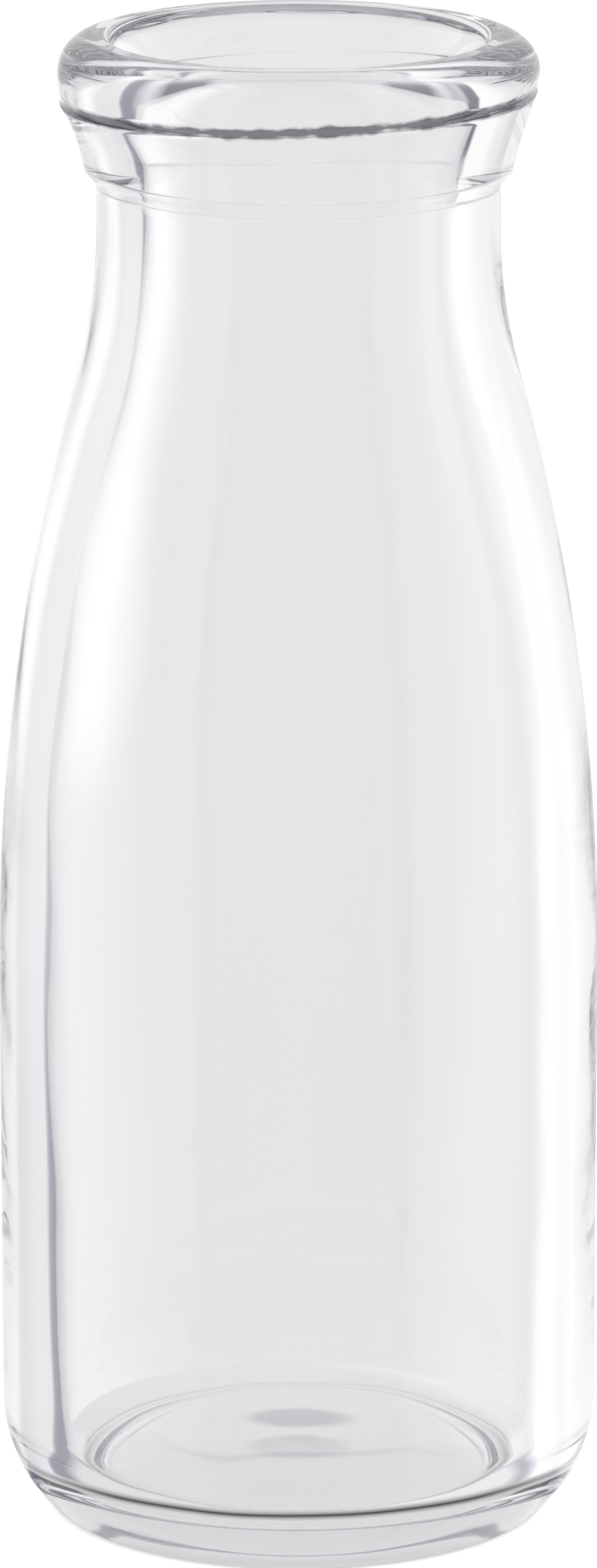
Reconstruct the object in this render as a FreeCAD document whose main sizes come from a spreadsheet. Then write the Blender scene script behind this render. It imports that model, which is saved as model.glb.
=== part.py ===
# Clear glass milk bottle, one moulded piece, standing open with no cap.
# Millimetres, +Z up, origin at the centre of the bearing ring, on the plane the bottle stands on.
import FreeCAD, Part
import os
from math import asin, atan2, cos, hypot, sin, sqrt
import Sketcher
from FreeCAD import Vector

# The driving dimensions, each written once.
SIZES = {
    # Overall
    "total_height": 158.6,
    "body_diameter": 63.5,
    "straight_wall_top": 60.0,
    # Heel and base
    "heel_radius": 16.0,
    "heel_inset": 5.55,
    "bearing_round": 1.2,
    "bearing_width": 3.0,
    "push_up_rise": 3.5,
    # Shoulder and neck
    "neck_diameter": 42.1,
    "neck_length": 4.2,
    "neck_curve_height": 15.9,
    # Finish: collar, parting crease, rounded lip, funnel mouth
    "finish_height": 15.6,
    "collar_step": 1.25,
    "underside_height": 1.65,
    "underside_radius": 4.85,
    "collar_radius": 33.0,
    "skirt_height": 2.2,
    "skirt_taper": 0.22,
    "crease_radius": 0.5,
    "lip_wall": 5.65,
    "lip_round": 3.7,
    "mouth_diameter": 38.8,
    "mouth_round": 1.0,
    "mouth_depth": 11.0,
    "mouth_taper": 2.74,
    "throat_flare": 0.56,
    # Cavity
    "body_wall": 5.25,
    "heel_extra_wall": 0.6,
    "cavity_lift": 8.0,
    "cavity_curve_height": 21.0,
    "bore_length": 4.0,
    "floor_thickness": 5.0,
    "floor_corner_radius": 5.0,
    "floor_rise": 3.5,
}

# A sketch's own numbers for the vertices of a piece, and its origin.
START, END, CENTRE = 1, 2, 3
ORIGIN = (-1, START)
EDGE_MATCH = 1e-6


def make_sheet(doc):
    """One row per driving dimension: its name in column A, its value in column B."""
    sheet = doc.addObject("Spreadsheet::Sheet", "sizes")
    for row, (name, value) in enumerate(SIZES.items(), start=1):
        sheet.set(f"A{row}", name)
        sheet.set(f"B{row}", str(value))
        sheet.setAlias(f"B{row}", name)
    doc.recompute()
    return sheet


class Profile:
    """A chain of lines and arcs in one half section, with r along the sketch's x and z along its y."""

    def __init__(self, body, name):
        self.sketch = body.newObject("Sketcher::SketchObject", name)
        plane = next(item for item in body.Origin.OriginFeatures if item.Role == "XZ_Plane")
        self.sketch.AttachmentSupport = (plane, [""])
        self.sketch.MapMode = "FlatFace"

    def line(self, start, end):
        """A straight piece; returns its first and last vertex."""
        piece = self.sketch.addGeometry(Part.LineSegment(Vector(*start), Vector(*end)))
        return (piece, START), (piece, END)

    def arc(self, centre, start, end, left_turn=True):
        """A round piece from start to end, turning left or right on the way; returns its two vertices."""
        radius = hypot(start[0] - centre[0], start[1] - centre[1])
        circle = Part.Circle(Vector(*centre), Vector(0, 0, 1), radius)
        first, last = (start, end) if left_turn else (end, start)
        angles = [atan2(point[1] - centre[1], point[0] - centre[0]) for point in (first, last)]
        piece = self.sketch.addGeometry(Part.ArcOfCircle(circle, *angles))
        vertices = (piece, START), (piece, END)
        return vertices if left_turn else vertices[::-1]

    def circle(self, centre, radius):
        """A whole circle; returns its centre."""
        piece = self.sketch.addGeometry(Part.Circle(Vector(*centre), Vector(0, 0, 1), radius))
        return piece, CENTRE

    def tie(self, kind, *vertices):
        """A relation without a size: Coincident, Tangent, Horizontal or Vertical."""
        numbers = [number for vertex in vertices for number in vertex]
        self.sketch.addConstraint(Sketcher.Constraint(kind, *numbers))

    def upright(self, piece):
        self.tie("Vertical", piece[0][:1])

    def level(self, piece):
        self.tie("Horizontal", piece[0][:1])

    def place(self, vertex):
        """Where a vertex lies now."""
        return Vector() if vertex == ORIGIN else self.sketch.getPoint(*vertex)

    def bind(self, constraint, expression):
        number = self.sketch.addConstraint(constraint)
        self.sketch.setExpression(f"Constraints[{number}]", expression)

    def across(self, start, end, expression):
        """How far end lies outside start, along r."""
        gap = self.place(end).x - self.place(start).x
        self.bind(Sketcher.Constraint("DistanceX", *start, *end, gap), expression)

    def up(self, start, end, expression):
        """How far end lies above start, along z."""
        gap = self.place(end).y - self.place(start).y
        self.bind(Sketcher.Constraint("DistanceY", *start, *end, gap), expression)

    def radius(self, vertex, expression):
        """The radius of the round piece that owns a vertex."""
        piece = vertex[0]
        self.bind(Sketcher.Constraint("Radius", piece, self.sketch.Geometry[piece].Radius), expression)


def free_arc_centre(start, end, radius):
    """The centre of the arc of that radius that turns left from start to end in less than half a turn."""
    chord = hypot(end[0] - start[0], end[1] - start[1])
    height = sqrt(radius**2 - chord**2 / 4)
    along = ((end[0] - start[0]) / chord, (end[1] - start[1]) / chord)
    middle = ((start[0] + end[0]) / 2, (start[1] + end[1]) / 2)
    return middle[0] - along[1] * height, middle[1] + along[0] * height


def double_curve(profile, wall, neck, turn_height):
    """The shoulder and neck curve: two arcs that meet on the straight line from wall to neck.

    Both arcs turn through the same angle, so each is upright where it leaves the wall or the neck.
    """
    share = (neck[1] - turn_height) / (neck[1] - wall[1])
    turn = (neck[0] + share * (wall[0] - neck[0]), turn_height)
    angle = 2 * atan2(wall[0] - neck[0], neck[1] - wall[1])
    shoulder_radius = (turn_height - wall[1]) / sin(angle)
    neck_radius = (neck[1] - turn_height) / sin(angle)
    shoulder = profile.arc((wall[0] - shoulder_radius, wall[1]), wall, turn)
    neck_curve = profile.arc((neck[0] + neck_radius, neck[1]), turn, neck, left_turn=False)
    profile.tie("Tangent", shoulder[1], neck_curve[0])
    return shoulder, neck_curve


def outer_profile(body):
    """Half of the outside, closed along the axis: base, heel, wall, shoulder, neck, collar and lip."""
    size = SIZES
    top = size["total_height"]
    wall_r = size["body_diameter"] / 2
    neck_r = size["neck_diameter"] / 2
    lip_r = size["mouth_diameter"] / 2 + size["lip_wall"]
    profile = Profile(body, "outer_profile")

    # The heel arc is upright at the wall and runs into the small round of the bearing edge.
    bearing_r = wall_r - size["heel_inset"]
    edge, heel_radius = size["bearing_round"], size["heel_radius"]
    heel_r = wall_r - heel_radius
    heel_z = edge + sqrt((heel_radius - edge) ** 2 - (bearing_r - heel_r) ** 2)
    share = heel_radius / (heel_radius - edge)
    heel_start = (heel_r + (bearing_r - heel_r) * share, heel_z + (edge - heel_z) * share)
    base = profile.line((0, 0), (bearing_r, 0))
    bearing = profile.arc((bearing_r, edge), (bearing_r, 0), heel_start)
    heel = profile.arc((heel_r, heel_z), heel_start, (wall_r, heel_z))
    wall_top = (wall_r, size["straight_wall_top"])
    wall = profile.line((wall_r, heel_z), wall_top)

    # Shoulder and neck.
    collar_z = top - size["finish_height"]
    neck_z = collar_z - size["neck_length"]
    shoulder, neck_curve = double_curve(
        profile, wall_top, (neck_r, neck_z), neck_z - size["neck_curve_height"]
    )
    neck = profile.line((neck_r, neck_z), (neck_r, collar_z))

    # Collar: a rolled underside, a tapering side, and a corner at the parting crease.
    widest = (lip_r, top - size["lip_round"])
    crease = (lip_r - size["skirt_taper"], widest[1] - size["skirt_height"])
    collar_edge = (neck_r + size["collar_step"], collar_z + size["underside_height"])
    collar_centre = free_arc_centre(collar_edge, crease, size["collar_radius"])
    underside_centre = free_arc_centre((neck_r, collar_z), collar_edge, size["underside_radius"])
    underside = profile.arc(underside_centre, (neck_r, collar_z), collar_edge)
    collar = profile.arc(collar_centre, collar_edge, crease)

    # Lip: a short skirt from the crease to the widest ring, then the round of the rim.
    skirt_radius = (size["skirt_height"] ** 2 + size["skirt_taper"] ** 2) / (2 * size["skirt_taper"])
    skirt = profile.arc((lip_r - skirt_radius, widest[1]), crease, widest)
    rim_r = lip_r - size["lip_round"]
    rim = profile.arc((rim_r, widest[1]), widest, (rim_r, top))
    land = profile.line((rim_r, top), (0, top))
    axis = profile.line((0, top), (0, 0))

    chain = [base, bearing, heel, wall, shoulder, neck_curve, neck]
    chain += [underside, collar, skirt, rim, land, axis]
    corners = {id(neck), id(underside), id(collar), id(land), id(axis)}
    inner_joint = id(shoulder)
    for piece, following in zip(chain, chain[1:] + chain[:1]):
        if id(piece) != inner_joint:
            profile.tie("Coincident" if id(piece) in corners else "Tangent", piece[1], following[0])
    profile.tie("Coincident", base[0], ORIGIN)
    for piece in (wall, neck, axis):
        profile.upright(piece)
    for piece in (base, land):
        profile.level(piece)
    profile.tie("Horizontal", rim[0], (rim[0][0], CENTRE))

    profile.across(ORIGIN, wall[0], "sizes.body_diameter / 2")
    profile.across(base[1], wall[0], "sizes.heel_inset")
    profile.radius(bearing[0], "sizes.bearing_round")
    profile.radius(heel[0], "sizes.heel_radius")
    profile.up(ORIGIN, wall[1], "sizes.straight_wall_top")
    profile.up(ORIGIN, land[0], "sizes.total_height")
    profile.up(neck[1], land[0], "sizes.finish_height")
    profile.up(neck[0], neck[1], "sizes.neck_length")
    profile.up(neck_curve[0], neck_curve[1], "sizes.neck_curve_height")
    profile.across(ORIGIN, neck[0], "sizes.neck_diameter / 2")
    profile.across(underside[0], collar[0], "sizes.collar_step")
    profile.up(underside[0], collar[0], "sizes.underside_height")
    profile.radius(underside[0], "sizes.underside_radius")
    profile.radius(collar[0], "sizes.collar_radius")
    profile.across(skirt[0], skirt[1], "sizes.skirt_taper")
    profile.up(skirt[0], skirt[1], "sizes.skirt_height")
    profile.across(ORIGIN, rim[0], "sizes.mouth_diameter / 2 + sizes.lip_wall")
    profile.radius(rim[0], "sizes.lip_round")
    return profile.sketch


def cavity_profile(body):
    """Half of the inside: domed floor, rounded corner, wall, shoulder, neck bore, throat and mouth."""
    size = SIZES
    top = size["total_height"]
    wall_r = size["body_diameter"] / 2 - size["body_wall"]
    mouth_r = size["mouth_diameter"] / 2
    neck_r = mouth_r - size["mouth_taper"] - size["throat_flare"]
    profile = Profile(body, "cavity_profile")

    # The floor rises from its corner to the middle, so the corner leaves a shallow ring-shaped valley.
    corner = size["floor_corner_radius"]
    floor_z = size["floor_thickness"]
    floor_r = wall_r - size["heel_extra_wall"] - corner
    rise = size["floor_rise"]
    floor_radius = (floor_r**2 + rise**2) / (2 * rise)
    crown = (0, floor_z + rise)
    axis = profile.line((0, top), crown)
    floor = profile.arc((0, crown[1] - floor_radius), crown, (floor_r, floor_z), left_turn=False)

    # The wall is one long arc, upright at the shoulder and thickening towards the floor corner.
    wall_top = (wall_r, size["straight_wall_top"] + size["cavity_lift"])
    corner_centre = (floor_r, floor_z + corner)
    reach = (wall_r - corner_centre[0], wall_top[1] - corner_centre[1])
    wall_radius = (reach[0] ** 2 + reach[1] ** 2 - corner**2) / (2 * (reach[0] - corner))
    tilt = asin(reach[1] / (wall_radius - corner))
    corner_end = (corner_centre[0] + corner * cos(tilt), corner_centre[1] - corner * sin(tilt))
    corner_arc = profile.arc(corner_centre, (floor_r, floor_z), corner_end)
    wall = profile.arc((wall_r - wall_radius, wall_top[1]), corner_end, wall_top)

    # Shoulder and neck follow the outside, a little higher.
    throat_z = top - size["finish_height"]
    neck_z = throat_z - size["bore_length"]
    shoulder, neck_curve = double_curve(
        profile, wall_top, (neck_r, neck_z), neck_z - size["cavity_curve_height"]
    )
    neck = profile.line((neck_r, neck_z), (neck_r, throat_z))

    # The throat flares out of the bore in one arc, and the mouth above it is a plain cone.
    mouth_foot = (mouth_r - size["mouth_taper"], top - size["mouth_depth"])
    flare = (mouth_foot[0] - neck_r, mouth_foot[1] - throat_z)
    throat_radius = (flare[0] ** 2 + flare[1] ** 2) / (2 * flare[0])
    throat = profile.arc((neck_r + throat_radius, throat_z), (neck_r, throat_z), mouth_foot, left_turn=False)
    mouth = profile.line(mouth_foot, (mouth_r, top))
    opening = profile.line((mouth_r, top), (0, top))

    chain = [axis, floor, corner_arc, wall, shoulder, neck_curve, neck, throat, mouth, opening]
    smooth = {id(corner_arc), id(wall), id(neck_curve), id(neck)}
    inner_joint = id(shoulder)
    for piece, following in zip(chain, chain[1:] + chain[:1]):
        if id(piece) != inner_joint:
            profile.tie("Tangent" if id(piece) in smooth else "Coincident", piece[1], following[0])
    profile.tie("Vertical", axis[0], ORIGIN)
    profile.tie("Vertical", (floor[0][0], CENTRE), ORIGIN)
    profile.tie("Vertical", (corner_arc[0][0], CENTRE), corner_arc[0])
    profile.tie("Horizontal", (wall[0][0], CENTRE), wall[1])
    for piece in (axis, neck):
        profile.upright(piece)
    profile.level(opening)

    profile.up(ORIGIN, axis[0], "sizes.total_height")
    profile.up(ORIGIN, floor[1], "sizes.floor_thickness")
    profile.up(floor[1], floor[0], "sizes.floor_rise")
    profile.radius(corner_arc[0], "sizes.floor_corner_radius")
    profile.across(ORIGIN, wall[1], "sizes.body_diameter / 2 - sizes.body_wall")
    profile.across(floor[1], wall[1], "sizes.floor_corner_radius + sizes.heel_extra_wall")
    profile.up(ORIGIN, wall[1], "sizes.straight_wall_top + sizes.cavity_lift")
    profile.up(neck_curve[0], neck_curve[1], "sizes.cavity_curve_height")
    profile.across(neck[1], mouth[0], "sizes.throat_flare")
    profile.up(neck[0], neck[1], "sizes.bore_length")
    profile.up(neck[1], axis[0], "sizes.finish_height")
    profile.up(mouth[0], mouth[1], "sizes.mouth_depth")
    profile.across(mouth[0], mouth[1], "sizes.mouth_taper")
    profile.across(ORIGIN, mouth[1], "sizes.mouth_diameter / 2")
    return profile.sketch


def push_up_profile(body):
    """Half of the hollow under the base: a shallow dome that leaves the bearing ring to stand on."""
    size = SIZES
    ring_r = size["body_diameter"] / 2 - size["heel_inset"] - size["bearing_width"]
    rise = size["push_up_rise"]
    dome_radius = (ring_r**2 + rise**2) / (2 * rise)
    profile = Profile(body, "push_up_profile")
    plane = profile.line((0, 0), (ring_r, 0))
    dome = profile.arc((0, rise - dome_radius), (ring_r, 0), (0, rise))
    axis = profile.line((0, rise), (0, 0))
    for piece, following in ((plane, dome), (dome, axis), (axis, plane)):
        profile.tie("Coincident", piece[1], following[0])
    profile.tie("Coincident", plane[0], ORIGIN)
    profile.tie("Vertical", (dome[0][0], CENTRE), ORIGIN)
    profile.level(plane)
    profile.upright(axis)
    ring = "sizes.body_diameter / 2 - sizes.heel_inset - sizes.bearing_width"
    profile.across(ORIGIN, plane[1], ring)
    profile.up(ORIGIN, axis[0], "sizes.push_up_rise")
    return profile.sketch


def crease_profile(body):
    """The round section of the crease, where the moulds of the lip and the collar met."""
    size = SIZES
    crease_r = size["mouth_diameter"] / 2 + size["lip_wall"] - size["skirt_taper"]
    crease_z = size["total_height"] - size["lip_round"] - size["skirt_height"]
    profile = Profile(body, "crease_profile")
    centre = profile.circle((crease_r, crease_z), size["crease_radius"])
    profile.radius(centre, "sizes.crease_radius")
    profile.across(ORIGIN, centre, "sizes.mouth_diameter / 2 + sizes.lip_wall - sizes.skirt_taper")
    profile.up(ORIGIN, centre, "sizes.total_height - sizes.lip_round - sizes.skirt_height")
    return profile.sketch


def turn_about_axis(body, kind, name, sketch):
    """A full turn of a half section about the bottle's axis, added or cut away."""
    feature = body.newObject(kind, name)
    feature.Profile = sketch
    feature.ReferenceAxis = (sketch, ["V_Axis"])
    feature.Angle = 360
    sketch.Document.recompute()
    return feature


def cut_about_axis(body, name, sketch):
    """A turned cut, with a check that it took glass away; prints how much."""
    before = body.Shape.Volume
    groove = turn_about_axis(body, "PartDesign::Groove", name, sketch)
    removed = before - groove.Shape.Volume
    if removed <= 0:
        raise RuntimeError(f"{name} cuts nothing")
    print(f"{name}: {removed / 1000:.2f} ml cut away")


def round_mouth(body):
    """A small round on the inner edge of the rim, which is the circle of the mouth at the top."""
    mouth_r = SIZES["mouth_diameter"] / 2
    top = SIZES["total_height"]
    base = body.Tip

    def is_mouth(edge):
        if edge.Degenerated or not isinstance(edge.Curve, Part.Circle):
            return False
        return abs(edge.Curve.Radius - mouth_r) < EDGE_MATCH and abs(edge.Curve.Center.z - top) < EDGE_MATCH

    number = next(i for i, edge in enumerate(base.Shape.Edges, start=1) if is_mouth(edge))
    fillet = body.newObject("PartDesign::Fillet", "mouth_round")
    fillet.Base = (base, [f"Edge{number}"])
    fillet.setExpression("Radius", "sizes.mouth_round")
    body.Document.recompute()


def make_bottle(doc):
    """The whole glass: its outside turned solid, then hollowed, domed under the base and creased."""
    body = doc.addObject("PartDesign::Body", "bottle")
    body.Label = "bottle"
    turn_about_axis(body, "PartDesign::Revolution", "outside", outer_profile(body))
    cut_about_axis(body, "cavity", cavity_profile(body))
    cut_about_axis(body, "push_up", push_up_profile(body))
    cut_about_axis(body, "crease", crease_profile(body))
    round_mouth(body)
    body.Placement = FreeCAD.Placement()
    return body


def check(doc, bodies):
    """Every object recomputed without error, every sketch fully held, every solid single and valid."""
    doc.recompute()
    for item in doc.Objects:
        if {"Invalid", "Error"} & set(item.State):
            raise RuntimeError(f"{item.Name} failed: {item.State}")
        if item.TypeId == "Sketcher::SketchObject" and item.solve() != 0:
            raise RuntimeError(f"{item.Name} has no solution")
    for body in bodies:
        shape = body.Shape
        if shape.isNull() or not shape.isValid() or len(shape.Solids) != 1:
            raise RuntimeError(f"{body.Label} is not one valid solid")
        box = shape.optimalBoundingBox()
        print(f"{body.Label}: {box.XLength:.2f} x {box.YLength:.2f} x {box.ZLength:.2f} mm,",
              f"{shape.Volume / 1000:.1f} ml of glass")


document = FreeCAD.newDocument("milk_bottle")
make_sheet(document)
sub_parts = [make_bottle(document)]
check(document, sub_parts)
os.makedirs("parts", exist_ok=True)
for sub_part in sub_parts:
    sub_part.Shape.exportStep(f"parts/{sub_part.Label}.step")
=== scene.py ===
# %% [markdown]
# # A small glass milk bottle, dressed for its picture
# The solid model of the bottle is loaded first and stays fixed: everything below is drawn in its frame, in
# metres, with the bottle standing on z = 0 and its axis on z. Glass shows its far side as well as its near side,
# so the whole skin of the bottle, inside and out, is worked out again here as one fine closed surface.

# %% Load the solid model
import math

import bpy
import numpy as np
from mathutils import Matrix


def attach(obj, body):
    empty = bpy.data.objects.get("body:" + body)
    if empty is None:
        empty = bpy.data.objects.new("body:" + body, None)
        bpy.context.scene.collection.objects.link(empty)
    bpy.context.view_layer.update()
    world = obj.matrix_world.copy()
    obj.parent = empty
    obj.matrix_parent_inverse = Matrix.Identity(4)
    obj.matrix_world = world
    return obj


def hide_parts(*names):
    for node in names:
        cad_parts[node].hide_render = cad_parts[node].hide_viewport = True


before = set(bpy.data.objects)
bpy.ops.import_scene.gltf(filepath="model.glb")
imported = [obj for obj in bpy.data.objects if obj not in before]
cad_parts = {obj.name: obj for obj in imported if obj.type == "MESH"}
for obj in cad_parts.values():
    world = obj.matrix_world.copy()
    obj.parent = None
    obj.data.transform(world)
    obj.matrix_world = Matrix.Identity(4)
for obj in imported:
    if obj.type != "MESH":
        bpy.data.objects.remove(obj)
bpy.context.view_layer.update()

# %% [markdown]
# ## The sizes
# A bottle like this is blown in a mould, so the outside is crisp and the inside is only roughly parallel to it.
# The sizes are in millimetres, as a glass maker would write them, and the surface is turned to metres at the end.

# %% Sizes of the bottle
MM = 0.001
TOTAL_HEIGHT = 158.6
WALL_RADIUS = 63.5 / 2
WALL_TOP = 60.0
HEEL_RADIUS = 16.0
HEEL_INSET = 5.55
BEARING_ROUND = 1.2
BEARING_WIDTH = 3.0
PUSH_UP_RISE = 3.5
NECK_RADIUS = 42.1 / 2
NECK_LENGTH = 4.2
NECK_CURVE_HEIGHT = 15.9
FINISH_HEIGHT = 15.6
COLLAR_STEP = 1.25
UNDERSIDE_HEIGHT = 1.65
UNDERSIDE_RADIUS = 4.85
COLLAR_RADIUS = 33.0
SKIRT_HEIGHT = 2.2
SKIRT_TAPER = 0.22
SKIRT_RADIUS = 12.0
CREASE_RADIUS = 0.5
LIP_WALL = 5.65
LIP_ROUND = 3.7
MOUTH_RADIUS = 38.8 / 2
MOUTH_ROUND = 1.0
MOUTH_DEPTH = 11.0
MOUTH_TAPER = 2.74
THROAT_FLARE = 0.56
BODY_WALL = 5.25
HEEL_EXTRA_WALL = 0.6
CAVITY_LIFT = 8.0
CAVITY_CURVE_HEIGHT = 21.0
BORE_LENGTH = 4.0
FLOOR_THICKNESS = 5.0
FLOOR_CORNER_RADIUS = 5.0
FLOOR_RISE = 3.5
print("height over diameter:", round(TOTAL_HEIGHT / (2 * WALL_RADIUS), 3))

# %% [markdown]
# ## Drawing the half section
# On paper a bottle is one half section, a chain of straight lines and arcs, turned about the axis. Each helper
# gives the points of one link as an array of (radius, height), without its last point, so links can be strung
# together. A lathe would follow the same chain.

# %% Lines and arcs of the section
def run(start, end, count):
    """Points on the straight line from start to end: start + t (end - start) for t in equal steps from 0 to 1."""
    step = np.linspace(0.0, 1.0, count, endpoint=False)[:, None]
    return (1 - step) * np.array(start) + step * np.array(end)


def bow(start, end, radius, count):
    """Points on the arc of that radius from start to end: the centre stands off the middle of the chord by
    sqrt(radius^2 - half chord^2), to the left of the way from start to end for a radius above 0, and to the right
    below 0, and the angle about it goes the short way in equal steps."""
    start, end = np.array(start, float), np.array(end, float)
    chord = end - start
    half = np.hypot(*chord) / 2
    left = np.array([-chord[1], chord[0]]) / (2 * half)
    centre = (start + end) / 2 + math.copysign(1, radius) * left * math.sqrt(max(radius * radius - half * half, 0.0))
    first, last = (math.atan2(*(point - centre)[::-1]) for point in (start, end))
    turn = (last - first + math.pi) % (2 * math.pi) - math.pi
    angle = first + turn * np.linspace(0.0, 1.0, count, endpoint=False)
    return centre + abs(radius) * np.column_stack([np.cos(angle), np.sin(angle)])


def double_bow(wall, neck, turn_height, count):
    """Points on an S from wall to neck, upright at both ends: two arcs of the same angle, 2 atan(step / rise), that
    meet on the straight line between the ends at turn_height."""
    (wide, low), (narrow, high) = wall, neck
    angle = 2 * math.atan2(wide - narrow, high - low)
    share = (turn_height - low) / (high - low)
    middle = (wide + share * (narrow - wide), turn_height)
    radius = (turn_height - low) / math.sin(angle)
    back = (high - turn_height) / math.sin(angle)
    first = round(count * share ** 0.5)
    return np.vstack([bow(wall, middle, radius, first), bow(middle, neck, -back, count - first)])


print("a quarter turn drawn with four points:\n", bow((1, 0), (0, 1), 1, 4).round(3))

# %% [markdown]
# ## The outside, from under the base to the lip
# A bottle stands on a narrow ring, because the middle of its base is pushed up into a shallow dome. A round heel
# leads into the straight wall. The long shoulder is an S, then come a short neck, the collar that a hand holds
# when it pours, a crease, and the rounded lip.

# %% Outside links
bearing_r = WALL_RADIUS - HEEL_INSET
heel_centre_r = WALL_RADIUS - HEEL_RADIUS
reach = HEEL_RADIUS - BEARING_ROUND
heel_z = BEARING_ROUND + math.sqrt(reach ** 2 - (bearing_r - heel_centre_r) ** 2)
lean = np.array([bearing_r - heel_centre_r, BEARING_ROUND - heel_z]) / reach
heel_foot = np.array([heel_centre_r, heel_z]) + HEEL_RADIUS * lean
push_up_edge = bearing_r - BEARING_WIDTH
push_up_radius = (push_up_edge ** 2 + PUSH_UP_RISE ** 2) / (2 * PUSH_UP_RISE)

finish_z = TOTAL_HEIGHT - FINISH_HEIGHT
neck_z = finish_z - NECK_LENGTH
collar_foot = (NECK_RADIUS + COLLAR_STEP, finish_z + UNDERSIDE_HEIGHT)
widest = (MOUTH_RADIUS + LIP_WALL, TOTAL_HEIGHT - LIP_ROUND)
crease = (widest[0] - SKIRT_TAPER, widest[1] - SKIRT_HEIGHT)
rim = (widest[0] - LIP_ROUND, TOTAL_HEIGHT)

outside = np.vstack([
    bow((0.0, PUSH_UP_RISE), (push_up_edge, 0.0), -push_up_radius, 24),
    run((push_up_edge, 0.0), (bearing_r, 0.0), 5),
    bow((bearing_r, 0.0), heel_foot, BEARING_ROUND, 8),
    bow(heel_foot, (WALL_RADIUS, heel_z), HEEL_RADIUS, 30),
    run((WALL_RADIUS, heel_z), (WALL_RADIUS, WALL_TOP), 10),
    double_bow((WALL_RADIUS, WALL_TOP), (NECK_RADIUS, neck_z), neck_z - NECK_CURVE_HEIGHT, 54),
    run((NECK_RADIUS, neck_z), (NECK_RADIUS, finish_z), 5),
    bow((NECK_RADIUS, finish_z), collar_foot, -UNDERSIDE_RADIUS, 7),
    bow(collar_foot, (crease[0], crease[1] - CREASE_RADIUS), -COLLAR_RADIUS, 14),
    bow((crease[0], crease[1] - CREASE_RADIUS), (crease[0], crease[1] + CREASE_RADIUS), -CREASE_RADIUS * 1.05, 8),
    bow((crease[0], crease[1] + CREASE_RADIUS), widest, SKIRT_RADIUS, 6),
    bow(widest, rim, LIP_ROUND, 30),
])
print("outside points:", len(outside), "widest", outside.max(axis=0).round(2))

# %% [markdown]
# ## The inside, from the lip down to the floor
# The mouth is a short cone, and below it the throat curves in to the straight bore of the neck, so that milk pours
# out of the bottle without a glug. The cavity follows the shoulder, and its wall thickens towards the heel, where
# the glass gathers.

# %% Inside links
inner_wall_r = WALL_RADIUS - BODY_WALL
mouth_foot = (MOUTH_RADIUS - MOUTH_TAPER, TOTAL_HEIGHT - MOUTH_DEPTH)
bore_r = mouth_foot[0] - THROAT_FLARE
throat_radius = (THROAT_FLARE ** 2 + (mouth_foot[1] - finish_z) ** 2) / (2 * THROAT_FLARE)
floor_corner_z = FLOOR_THICKNESS + FLOOR_CORNER_RADIUS
floor_edge_r = inner_wall_r - HEEL_EXTRA_WALL - FLOOR_CORNER_RADIUS
inner_wall_top = (inner_wall_r, WALL_TOP + CAVITY_LIFT)
bore_foot = (bore_r, finish_z - BORE_LENGTH)
reach = np.array([FLOOR_CORNER_RADIUS + HEEL_EXTRA_WALL, inner_wall_top[1] - floor_corner_z])
belly_radius = (reach @ reach - FLOOR_CORNER_RADIUS ** 2) / (2 * HEEL_EXTRA_WALL)
tilt = math.asin(reach[1] / (belly_radius - FLOOR_CORNER_RADIUS))
corner_top = (floor_edge_r + FLOOR_CORNER_RADIUS * math.cos(tilt),
              floor_corner_z - FLOOR_CORNER_RADIUS * math.sin(tilt))
dome_radius = (floor_edge_r ** 2 + FLOOR_RISE ** 2) / (2 * FLOOR_RISE)

inside = np.vstack([
    run(rim, (MOUTH_RADIUS + MOUTH_ROUND, TOTAL_HEIGHT), 4),
    bow((MOUTH_RADIUS + MOUTH_ROUND, TOTAL_HEIGHT), (MOUTH_RADIUS, TOTAL_HEIGHT - MOUTH_ROUND), MOUTH_ROUND, 14),
    run((MOUTH_RADIUS, TOTAL_HEIGHT - MOUTH_ROUND), mouth_foot, 14),
    bow(mouth_foot, (bore_r, finish_z), throat_radius, 8),
    run((bore_r, finish_z), bore_foot, 4),
    [bore_foot],
    double_bow(inner_wall_top, bore_foot, bore_foot[1] - CAVITY_CURVE_HEIGHT, 48)[:0:-1],
    bow(inner_wall_top, corner_top, -belly_radius, 14),
    bow(corner_top, (floor_edge_r, FLOOR_THICKNESS), -FLOOR_CORNER_RADIUS, 14),
    bow((floor_edge_r, FLOOR_THICKNESS), (0.0, FLOOR_THICKNESS + FLOOR_RISE), dome_radius, 32),
    [(0.0, FLOOR_THICKNESS + FLOOR_RISE)],
])
section = np.vstack([outside, inside])
print("section points:", len(section), "lowest inside", inside[:, 1].min().round(2))

# %% [markdown]
# ## Turning the section into glass
# A turned surface would be too perfect: in a real bottle the crease under the lip runs a little out of level, and
# the inside, which no mould touched, is faintly wavy. Both are added as small smooth changes of height and radius
# that fade out away from their place. The surface is one function of the section's point and of the angle.

# %% Turn the section
ROUND_STEPS = 270
CREASE_TILT = 0.7
RIPPLE = 0.06
RIPPLE_LOW_DOWN = 1.2
CREASE_LOST_BEHIND = 0.66


def bump_over(value, middle, width):
    """A smooth hill: exp(-((value - middle) / width)^2)."""
    return np.exp(-((value - middle) / width) ** 2)


def ripple(angle, height):
    """A faint wave over the inside: four sines of the angle and the height with set phases, added together."""
    return (0.5 * np.sin(3 * angle + 0.06 * height + 0.4) + 0.35 * np.sin(7 * angle - 0.11 * height + 2.1)
            + 0.25 * np.sin(12 * angle + 0.23 * height + 4.0) + 0.3 * np.sin(2 * angle - 0.31 * height + 1.2))


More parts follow.
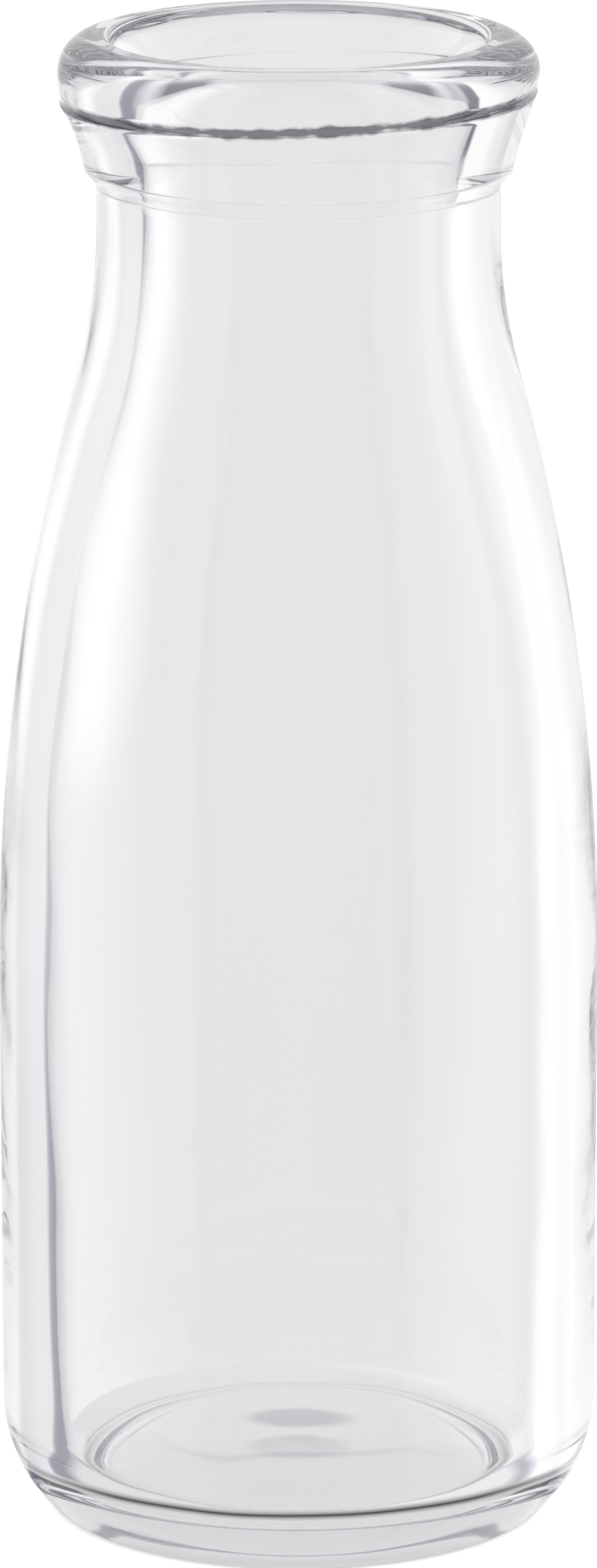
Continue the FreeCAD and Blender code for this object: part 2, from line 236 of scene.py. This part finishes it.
def bottle_skin(section, angle):
    """Points (radius cos angle, radius sin angle, height) for every section point and angle. The radius of inside
    points gains the ripple, more of it low down. The height near the crease gains tilt times the cosine of the angle.
    The crease is cut in by its full depth at the front, and by a third of it at the back."""
    radius, height = section[:, :1], section[:, 1:]
    inner = np.zeros_like(radius)
    inner[len(outside) + 18:-3] = 1.0
    rough = RIPPLE * (1 + RIPPLE_LOW_DOWN * np.exp(-(height / 12.0) ** 4))
    swell = rough * inner * ripple(angle, height) * np.clip((radius - 14) / 4.0, 0, 1)
    outer = radius > MOUTH_RADIUS + 2
    lift = CREASE_TILT * np.cos(angle) * bump_over(height, crease[1], 2.2) * outer
    groove = (np.abs(height - crease[1]) < CREASE_RADIUS) & outer
    shallow = groove * (crease[0] - radius) * CREASE_LOST_BEHIND * (1 + np.sin(angle)) / 2
    wide = radius + swell + shallow
    return np.stack([wide * np.cos(angle), wide * np.sin(angle), height + lift], axis=-1)


turns = np.linspace(0.0, 2 * math.pi, ROUND_STEPS, endpoint=False)[None, :]
skin = bottle_skin(section, turns)
print("grid of the skin:", skin.shape)

# %% [markdown]
# ## Closing the skin
# The glass has to be one closed surface, or light would not know where it enters and leaves. The grid starts in the
# middle of the underside and ends in the middle of the inner floor, so it needs only a fan of triangles at each end.

# %% Close the skin into a mesh
def closed_turning(name, grid):
    """A mesh from a grid whose first and last rows lie on the axis: each of those rows becomes one pole, every other
    row is a ring, and ring i joins ring i + 1 with four-sided faces that wind outwards."""
    rings = grid[1:-1]
    rows, columns = rings.shape[:2]
    points = np.vstack([rings.reshape(-1, 3), grid[:1, 0], grid[-1:, 0]]) * MM
    number = np.arange(rows * columns).reshape(rows, columns)
    after = np.roll(number, -1, axis=1)
    quads = np.stack([number[:-1], after[:-1], after[1:], number[1:]], axis=-1).reshape(-1, 4)
    first_pole, last_pole = rows * columns, rows * columns + 1
    low_fan = np.column_stack([after[0], number[0], np.full(columns, first_pole)])
    high_fan = np.column_stack([number[-1], after[-1], np.full(columns, last_pole)])
    mesh = bpy.data.meshes.new(name)
    mesh.from_pydata(points.tolist(), [], quads.tolist() + low_fan.tolist() + high_fan.tolist())
    mesh.polygons.foreach_set("use_smooth", np.ones(len(mesh.polygons), bool))
    mesh.update()
    piece = bpy.data.objects.new(name, mesh)
    bpy.context.scene.collection.objects.link(piece)
    return piece


bottle = closed_turning("bottle_glass", skin)
triangles = sum(len(face.vertices) - 2 for face in bottle.data.polygons)
print("bottle mesh:", len(bottle.data.vertices), "points,", triangles, "triangles")

# %% [markdown]
# ## Writing shader maths
# Materials are graphs of nodes. A small class that wraps a socket lets a graph be written as plain sums, so
# `1 - mask * 0.5` adds the two Math nodes it needs. Every other kind of node comes from one method.

# %% Socket maths
class Wire:
    """A socket in a node tree. Sums of wires and numbers add Math nodes; node() adds any other kind."""

    def __init__(self, tree, socket=None):
        self.tree, self.socket = tree, socket

    def node(self, kind, settings=None, output=0, **inputs):
        """A node of that kind: settings first, then values or links of sockets, given by name or as s0, s1, ..."""
        made = self.tree.nodes.new(kind)
        for key, value in (settings or {}).items():
            setattr(made, key, value)
        for key, value in inputs.items():
            numbered = key[0] == "s" and key[1:].isdigit()
            into = made.inputs[int(key[1:])] if numbered else made.inputs[key.replace("_", " ")]
            if isinstance(value, Wire):
                self.tree.links.new(value.socket, into)
            else:
                into.default_value = value
        return Wire(self.tree, made.outputs[output])

    def math(self, operation, *terms):
        """One Math node with that operation on the terms."""
        return self.node("ShaderNodeMath", {"operation": operation},
                         **{f"s{place}": term for place, term in enumerate(terms)})

    def ease(self, low, high, first=0.0, last=1.0):
        """A smooth step of this wire: first up to low, last from high on."""
        return self.node("ShaderNodeMapRange", {"interpolation_type": "SMOOTHSTEP"},
                         s0=self, s1=low, s2=high, s3=first, s4=last)

    def blend(self, plain, changed):
        """A colour that goes from plain to changed as this wire goes from 0 to 1."""
        return self.node("ShaderNodeMix", {"data_type": "RGBA"}, output=2, s0=self, s6=plain, s7=changed)

    def off_axis(self):
        """The distance of this place from the axis."""
        level = self.node("ShaderNodeVectorMath", {"operation": "MULTIPLY"}, s0=self, s1=(1, 1, 0))
        return self.node("ShaderNodeVectorMath", {"operation": "LENGTH"}, output=1, s0=level)

    def part(self, axis):
        """One of the three parts of this place: 0 across, 1 away from the camera, 2 up."""
        return self.node("ShaderNodeSeparateXYZ", output=axis, Vector=self)

    def __add__(self, other): return self.math("ADD", self, other)
    def __radd__(self, other): return self.math("ADD", other, self)
    def __sub__(self, other): return self.math("SUBTRACT", self, other)
    def __rsub__(self, other): return self.math("SUBTRACT", other, self)
    def __mul__(self, other): return self.math("MULTIPLY", self, other)
    def __rmul__(self, other): return self.math("MULTIPLY", other, self)
    def __truediv__(self, other): return self.math("DIVIDE", self, other)


def new_tree(material):
    """The material's empty node tree as a wire, and its output node."""
    material.use_nodes = True
    tree = material.node_tree
    tree.nodes.clear()
    return Wire(tree), tree.nodes.new("ShaderNodeOutputMaterial")


print("operators of a wire:", [name for name in vars(Wire) if name.startswith("__") and name.endswith("__")][:12])

# %% [markdown]
# ## Clear glass
# Soda-lime glass bends light by 1.52, and a long way through it looks faintly violet, which the volume gives. What
# tells old bottle glass from a perfect solid is its skin: broad shallow waves from the cold mould, and a band of fine
# scuffs on the heel, where bottles rub in a crate. The waves go into the bump and the scuffs into the roughness. Two
# marks darken the colour of the surface, each within a mask of its place, and both are painted shade: a jagged dark
# line in the front of the crease only, and a dark violet spot in the middle of the inner floor that stands in for the
# shaded table under the bottle, seen through the base.

# %% Glass material
GLASS_INDEX = 1.52
# Painted shade: the tone of the dark line painted into the front of the crease
CREASE_SHADE_TONE = (0.06, 0.055, 0.07, 1)
# Painted shade: the tone of the dark spot painted on the middle of the inner floor
FLOOR_SPOT_SHADE_TONE = (0.46, 0.45, 0.50, 1)
glass = bpy.data.materials.new("clear_glass")
wire, output = new_tree(glass)
place = wire.node("ShaderNodeTexCoord", output=3)
across, ahead, height, from_axis = place.part(0), place.part(1), place.part(2), place.off_axis()
waves = wire.node("ShaderNodeTexNoise", output=0, Vector=place, Scale=45.0, Detail=2.0, Roughness=0.45)
specks = wire.node("ShaderNodeTexNoise", output=0, Vector=place, Scale=900.0, Detail=3.0, Roughness=0.6)
heel_band = 1 - wire.math("SMOOTH_MIN", (wire.math("ABSOLUTE", height - 0.006) / 0.004), 1.0, 0.3)
scuff = wire.math("MAXIMUM", heel_band, 0.0) * specks
tint = waves.blend((0.99, 0.99, 0.99, 1), (1.0, 1.0, 1.0, 1))

# Painted shade: a jagged dark line along the crease, on the collar and at the front only
jagged = wire.node("ShaderNodeTexNoise", output=0, Vector=place, Scale=420.0, Detail=2.0)
crease_height = across * (CREASE_TILT / crease[0])
off_crease = wire.math("ABSOLUTE", height - crease_height - crease[1] * MM) / (CREASE_RADIUS * MM)
on_collar = wire.math("GREATER_THAN", from_axis, 0.0232)
crease_shade = ahead.ease(-0.012, 0.002, 1.0, 0.0) * on_collar * (off_crease + 2.4 * jagged).ease(1.7, 2.7, 1.0, 0.0)
tint = crease_shade.blend(tint, CREASE_SHADE_TONE)

# Painted shade: a dark violet spot on the middle of the inner floor, for the shaded table seen through the base
wavy = wire.node("ShaderNodeTexNoise", output=0, Vector=place, Scale=160.0, Detail=2.0)
long_spot = wire.node("ShaderNodeVectorMath", {"operation": "MULTIPLY"}, s0=place, s1=(1, 2.2, 0))
spot = wire.node("ShaderNodeVectorMath", {"operation": "LENGTH"}, output=1, s0=long_spot)
on_floor = wire.math("GREATER_THAN", height, 0.006) * wire.math("LESS_THAN", height, 0.0095)
floor_spot_shade = on_floor * (spot + 0.005 * (wavy - 0.5)).ease(0.0045, 0.0075, 1.0, 0.0)
tint = floor_spot_shade.blend(tint, FLOOR_SPOT_SHADE_TONE)
bump = wire.node("ShaderNodeBump", output=0, Strength=0.15, Distance=0.0004, Height=waves)
body = wire.node("ShaderNodeBsdfPrincipled", output=0, Base_Color=tint, Roughness=0.004 + 0.08 * scuff,
                 IOR=GLASS_INDEX, Normal=bump)
body.socket.node.inputs["Transmission Weight"].default_value = 1.0
wire.tree.links.new(body.socket, output.inputs["Surface"])
depth = wire.node("ShaderNodeVolumeAbsorption", Color=(0.30, 0.27, 0.36, 1), Density=4.0)
wire.tree.links.new(depth.socket, output.inputs["Volume"])
bottle.data.materials.append(glass)
print("glass nodes:", len(wire.tree.nodes))

# %% [markdown]
# ## In the frame
# The glass rides on the solid model's one body and stands in for its one piece, so the two share every place.

# %% Put the glass in the frame
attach(bottle, "root")
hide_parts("bottle")
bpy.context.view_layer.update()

# %% [markdown]
# ## A white table
# Clear glass has no colour of its own: it shows what is behind it, bent. So the table is a plain white sheet that
# the eye, and the glass, see as white, and that still takes the bottle's soft shadow. The thin dark line where glass
# meets paper would be lost in that white, so a painted contact shadow is added: a ring under the foot gives off less
# light, least of all in front, and the patch under the whole base gives off a tenth less.

# %% Floor
def flat_sheet(name, half_width, front, back):
    """A level rectangle at z = 0: x from -half_width to half_width, y from front to back."""
    corners = np.array([(-half_width, front, 0), (half_width, front, 0), (half_width, back, 0), (-half_width, back, 0)])
    mesh = bpy.data.meshes.new(name)
    mesh.from_pydata(corners.tolist(), [], [(0, 1, 2, 3)])
    sheet = bpy.data.objects.new(name, mesh)
    bpy.context.scene.collection.objects.link(sheet)
    return sheet


def seen_by(wire, *rays):
    """A wire that is 1 for the named kinds of ray and 0 for others."""
    path = wire.node("ShaderNodeLightPath").socket.node
    kinds = [Wire(wire.tree, path.outputs[f"Is {ray} Ray"]) for ray in rays]
    return wire.math("MINIMUM", sum(kinds[1:], kinds[0]), 1.0)


CONTACT_RADIUS = 0.0250
CONTACT_HALF_WIDTH = 0.0025
table = flat_sheet("table", 4.0, -4.0, 6.0)
paper = bpy.data.materials.new("white_paper")
wire, output = new_tree(paper)
sheet_lit = wire.node("ShaderNodeBsdfDiffuse", Color=(0.35, 0.35, 0.35, 1))
where = wire.node("ShaderNodeTexCoord", output=3)
from_axis = where.off_axis()
# Painted shadow: the table's glow is lowered in a ring under the foot, most in front, and by a tenth under the base
contact_shadow_strength = wire.node("ShaderNodeMapRange", s0=where.part(1), s1=-0.015, s2=0.012, s3=0.95, s4=0.2)
off_ring = wire.math("ABSOLUTE", from_axis - CONTACT_RADIUS) / CONTACT_HALF_WIDTH
painted_contact_shadow = contact_shadow_strength * (1 - wire.math("MINIMUM", off_ring, 1.0))
painted_base_shadow = from_axis.ease(0.020, 0.029, 1.0, 0.0)
bright = seen_by(wire, "Camera", "Glossy", "Transmission") * 0.68 + seen_by(wire, "Camera") * 0.26
sheet_glow = wire.node("ShaderNodeEmission", Strength=bright * (1 - painted_contact_shadow - 0.1 * painted_base_shadow))
both = wire.node("ShaderNodeAddShader", s0=sheet_lit, s1=sheet_glow)
wire.tree.links.new(both.socket, output.inputs["Surface"])
table.data.materials.append(paper)
print("table:", [round(value, 2) for value in table.dimensions])

# %% [markdown]
# ## Soft screens round the bottle
# A photographer shapes clear glass with what stands round it, out of the picture: bright cards whiten its edges,
# and dimmer ones draw the violet lines that show where the wall is. Here one wide curved screen goes all round, and
# its tone changes with the angle. It leans in at the table, because the heel looks out close above the paper. Light
# that is caught inside the thick wall leaves it sideways, so a pair of narrow screens close to the sides sets the
# tone of the outer bands, and a short pair beside the collar the tone of the lip. A bright strip behind, to the left,
# lights the shoulder. Only the glass can see them.

# %% Screens
WIDE_RADIUS = 0.070
FOOT_RADIUS = 0.036
LEAN_HEIGHT = 0.05
CLOSE_GAP = 2.0
SHOULDER_RADIUS = 0.069
SHOULDER_FOOT = 0.055
SHOULDER_REACH = 0.115
GLOW = 1.5
PALE_TONE = (0.68, 0.68, 0.68, 1)
NOT_PALE = (0.33, 0.9, 0.0)


def leaning_screen(angle, up):
    """The wide screen: upright at WIDE_RADIUS down to LEAN_HEIGHT. From there to the table the radius eases to
    FOOT_RADIUS and the angle a to a (1 + 0.39 (1 - (a / half turn)^2)), as rays spread when they leave the glass."""
    height = 0.30 * up ** 2
    lean = np.clip(height / LEAN_HEIGHT, 0, 1) ** 0.7
    angle = angle * (1 + 0.39 * (1 - lean) * (1 - (angle / math.pi) ** 2))
    return FOOT_RADIUS + (WIDE_RADIUS - FOOT_RADIUS) * lean, angle, height


def close_screen(angle, up):
    """A narrow screen close to the glass: the radius of the bottle's outside at the same height, plus CLOSE_GAP."""
    height = 1.0 + (TOTAL_HEIGHT - 2.0) * up
    side = outside[outside[:, 1].argsort()]
    return (np.interp(height, side[:, 1], side[:, 0]) + CLOSE_GAP) * MM, angle, height * MM


def collar_screen(angle, up):
    """As the close screen, but beside the collar alone, and half a millimetre nearer to it."""
    radius, angle, height = close_screen(angle, 0.9 + 0.1 * up)
    return radius - 0.5 * MM, angle, height


def shoulder_screen(angle, up):
    """An upright strip just inside the wide screen, at the heights that show in the bottle's shoulder."""
    return SHOULDER_RADIUS, angle, SHOULDER_FOOT + SHOULDER_REACH * up


def screen_mesh(name, shape, first, last):
    """A grid over the angles from first to last, in degrees from straight behind the bottle towards the right, and
    over the share of the height, placed by shape at (radius sin angle, radius cos angle, height)."""
    across, up = np.meshgrid(np.linspace(0, 1, 97), np.linspace(0, 1, 81))
    radius, angle, height = shape(np.radians(first + (last - first) * across), up)
    points = np.stack([radius * np.sin(angle), radius * np.cos(angle), height], axis=-1)
    number = np.arange(across.size).reshape(across.shape)
    faces = np.stack([number[:-1, :-1], number[:-1, 1:], number[1:, 1:], number[1:, :-1]], axis=-1).reshape(-1, 4)
    mesh = bpy.data.meshes.new(name)
    mesh.from_pydata(points.reshape(-1, 3).tolist(), [], faces.tolist())
    layer = mesh.uv_layers.new(name="spread")
    corner = np.zeros(len(mesh.loops), np.int32)
    mesh.loops.foreach_get("vertex_index", corner)
    layer.data.foreach_set("uv", np.column_stack([across.ravel()[corner], up.ravel()[corner]]).ravel())
    return mesh


def toned_screen(name, shape, tones, pale, ends=None):
    """A screen that only the glass sees. Each of its tones is (degrees, level, violet, cover): the light that it
    gives off, how violet that is, and how much of it is there. Over the heights in pale, given as shares, the tones
    go part of the way to white. Where ends are given, the screen fades in up to the first share of its height and
    fades out from the second."""
    degrees = [tone[0] for tone in tones]
    screen = bpy.data.objects.new(name, screen_mesh(name, shape, degrees[0], degrees[-1]))
    bpy.context.scene.collection.objects.link(screen)
    card = bpy.data.materials.new(name)
    wire, output = new_tree(card)
    spread = wire.node("ShaderNodeUVMap", {"uv_map": "spread"})
    up = spread.part(1)
    tone = wire.node("ShaderNodeValToRGB", Fac=spread.part(0))
    stops = tone.socket.node.color_ramp.elements
    while len(stops) < len(tones):
        stops.new(0.5)
    for mark, (angle, level, violet, there) in zip(stops, tones):
        mark.position = (angle - degrees[0]) / (degrees[-1] - degrees[0])
        level = level / GLOW
        mark.color = (level, level * (1 - 0.4 * violet), level * (1 + violet), there)
    cover = Wire(wire.tree, tone.socket.node.outputs["Alpha"])
    if ends:
        cover = cover * up.ease(0.0, ends[0]) * up.ease(ends[1], 1.0, 1.0, 0.0)
    low, high, share = pale
    paler = (up.ease(low, low + 0.25, 0.0, share) * up.ease(high - 0.1, high, 1.0, 0.0)).blend(tone, PALE_TONE)
    glow = wire.node("ShaderNodeEmission", Color=paler, Strength=GLOW)
    clear = wire.node("ShaderNodeBsdfTransparent")
    mixed = wire.node("ShaderNodeMixShader", s0=cover, s1=clear, s2=glow)
    wire.tree.links.new(mixed.socket, output.inputs["Surface"])
    screen.data.materials.append(card)
    screen.visible_camera = screen.visible_diffuse = screen.visible_shadow = False
    return screen


toned_screen("wide_screen", leaning_screen, [
    (-180, 0.80, 0.02, 1), (-100, 0.74, 0.03, 1), (-80, 0.76, 0.03, 1), (-66, 0.92, 0, 1), (-50, 1.02, 0, 1),
    (-36, 0.97, 0, 1), (-26, 0.89, 0, 1), (-16, 0.83, 0, 1), (-8, 0.82, 0, 1), (10, 0.82, 0, 1), (18, 0.85, 0, 1),
    (26, 0.90, 0, 1), (40, 0.93, 0, 1), (66, 1.00, 0, 1), (80, 0.82, 0.03, 1), (100, 0.74, 0.03, 1),
    (180, 0.80, 0.02, 1)], (0.5, 0.8, 0.1))
toned_screen("left_close_screen", close_screen, [
    (-117, 0.50, 0.10, 0), (-110, 0.34, 0.12, 1), (-106, 0.32, 0.14, 1), (-103.8, 0.38, 0.14, 1), (-102, 0.85, 0.02, 1),
    (-86, 0.88, 0, 1), (-78, 0.9, 0, 0)], (0.22, 0.9, 0.3))
toned_screen("right_close_screen", close_screen, [
    (78, 1.0, 0, 0), (88, 1.06, 0, 1), (100, 1.10, 0, 1), (108, 1.10, 0, 1), (111, 0.75, 0.08, 1), (113, 0.55, 0.08, 1),
    (115, 0.55, 0.08, 1), (120, 0.60, 0.08, 0)], NOT_PALE)
toned_screen("left_shoulder_screen", shoulder_screen, [
    (-62, 1.10, 0, 0), (-52, 1.20, 0, 1), (-40, 1.20, 0, 1), (-31, 1.12, 0, 1), (-26, 1.00, 0, 0.9), (-20, 0.90, 0, 0)],
    NOT_PALE, ends=(0.2, 0.75))
toned_screen("left_collar_screen", collar_screen, [
    (-148, 0.40, 0.10, 0), (-142, 0.26, 0.14, 1), (-126, 0.22, 0.14, 1), (-119, 0.50, 0.08, 0)], NOT_PALE,
    ends=(0.3, 0.5))
toned_screen("right_collar_screen", collar_screen, [
    (103, 0.40, 0.10, 0), (105, 0.22, 0.14, 1), (110, 0.22, 0.14, 1), (114, 0.50, 0.08, 0), (119, 0.50, 0.08, 0),
    (126, 0.22, 0.14, 1), (142, 0.26, 0.14, 1), (148, 0.40, 0.10, 0)], NOT_PALE, ends=(0.3, 0.5))

# %% [markdown]
# ## Light
# A wide soft lamp above and to the right gives the bottle its sheen and its faint shadow. The world is an even
# white with a faintly violet ceiling, which greys the top of the lip, and nothing black is ever seen in the glass.

# %% World and lamps
world = bpy.data.worlds.new("studio")
bpy.context.scene.world = world
world.use_nodes = True
world.node_tree.nodes.clear()
wire = Wire(world.node_tree)
overhead = wire.node("ShaderNodeTexCoord", output=0).part(2).ease(0.4, 0.8)
ceiling = (overhead * (1 - seen_by(wire, "Camera"))).blend((1, 1, 1, 1), (0.64, 0.62, 0.70, 1))
air = wire.node("ShaderNodeBackground", Color=ceiling,
                Strength=0.5 + 0.5 * seen_by(wire, "Camera", "Glossy", "Transmission"))
sky = world.node_tree.nodes.new("ShaderNodeOutputWorld")
world.node_tree.links.new(air.socket, sky.inputs["Surface"])


def soft_lamp(name, place, aim, size, watts):
    """A square lamp at place that faces aim."""
    lamp = bpy.data.lights.new(name, "AREA")
    lamp.size, lamp.energy = size, watts
    item = bpy.data.objects.new(name, lamp)
    item.location = place
    way = np.array(aim) - np.array(place)
    item.rotation_euler = (math.atan2(np.hypot(way[0], way[1]), -way[2]), 0, math.atan2(-way[0], way[1]))
    bpy.context.scene.collection.objects.link(item)
    return item


soft_lamp("upper_right_lamp", (0.7, -0.5, 0.9), (0, 0, 0.08), 0.5, 6.0)

# %% [markdown]
# ## Camera
# The camera stands back with a long lens and looks down a little into the mouth. Light may turn many times inside the
# thick lip, so it is followed for many bounces before it is given up as black.

# %% Camera
BOUNCES = 64
SENSOR = 36.0
FOCAL_PIXELS = 14590
PICTURE_PIXELS = 2468
EYE = (0.0, -0.950, 0.322)
AIM = (0.0, 0.0, 0.0784)
camera = bpy.data.cameras.new("camera")
camera.sensor_width = SENSOR
camera.lens = SENSOR * FOCAL_PIXELS / PICTURE_PIXELS
view = bpy.data.objects.new("camera", camera)
view.location = EYE
view.rotation_euler = (math.pi / 2 - math.atan2(EYE[2] - AIM[2], AIM[1] - EYE[1]), 0, 0)
bpy.context.scene.collection.objects.link(view)
bpy.context.scene.camera = view
bpy.context.scene.view_settings.view_transform = "Standard"
paths = bpy.context.scene.cycles
paths.max_bounces = paths.transmission_bounces = paths.glossy_bounces = BOUNCES
print("lens in mm:", round(camera.lens, 1))

# %% [markdown]
# ## The box
# The glass has to fill the same box as the solid model.
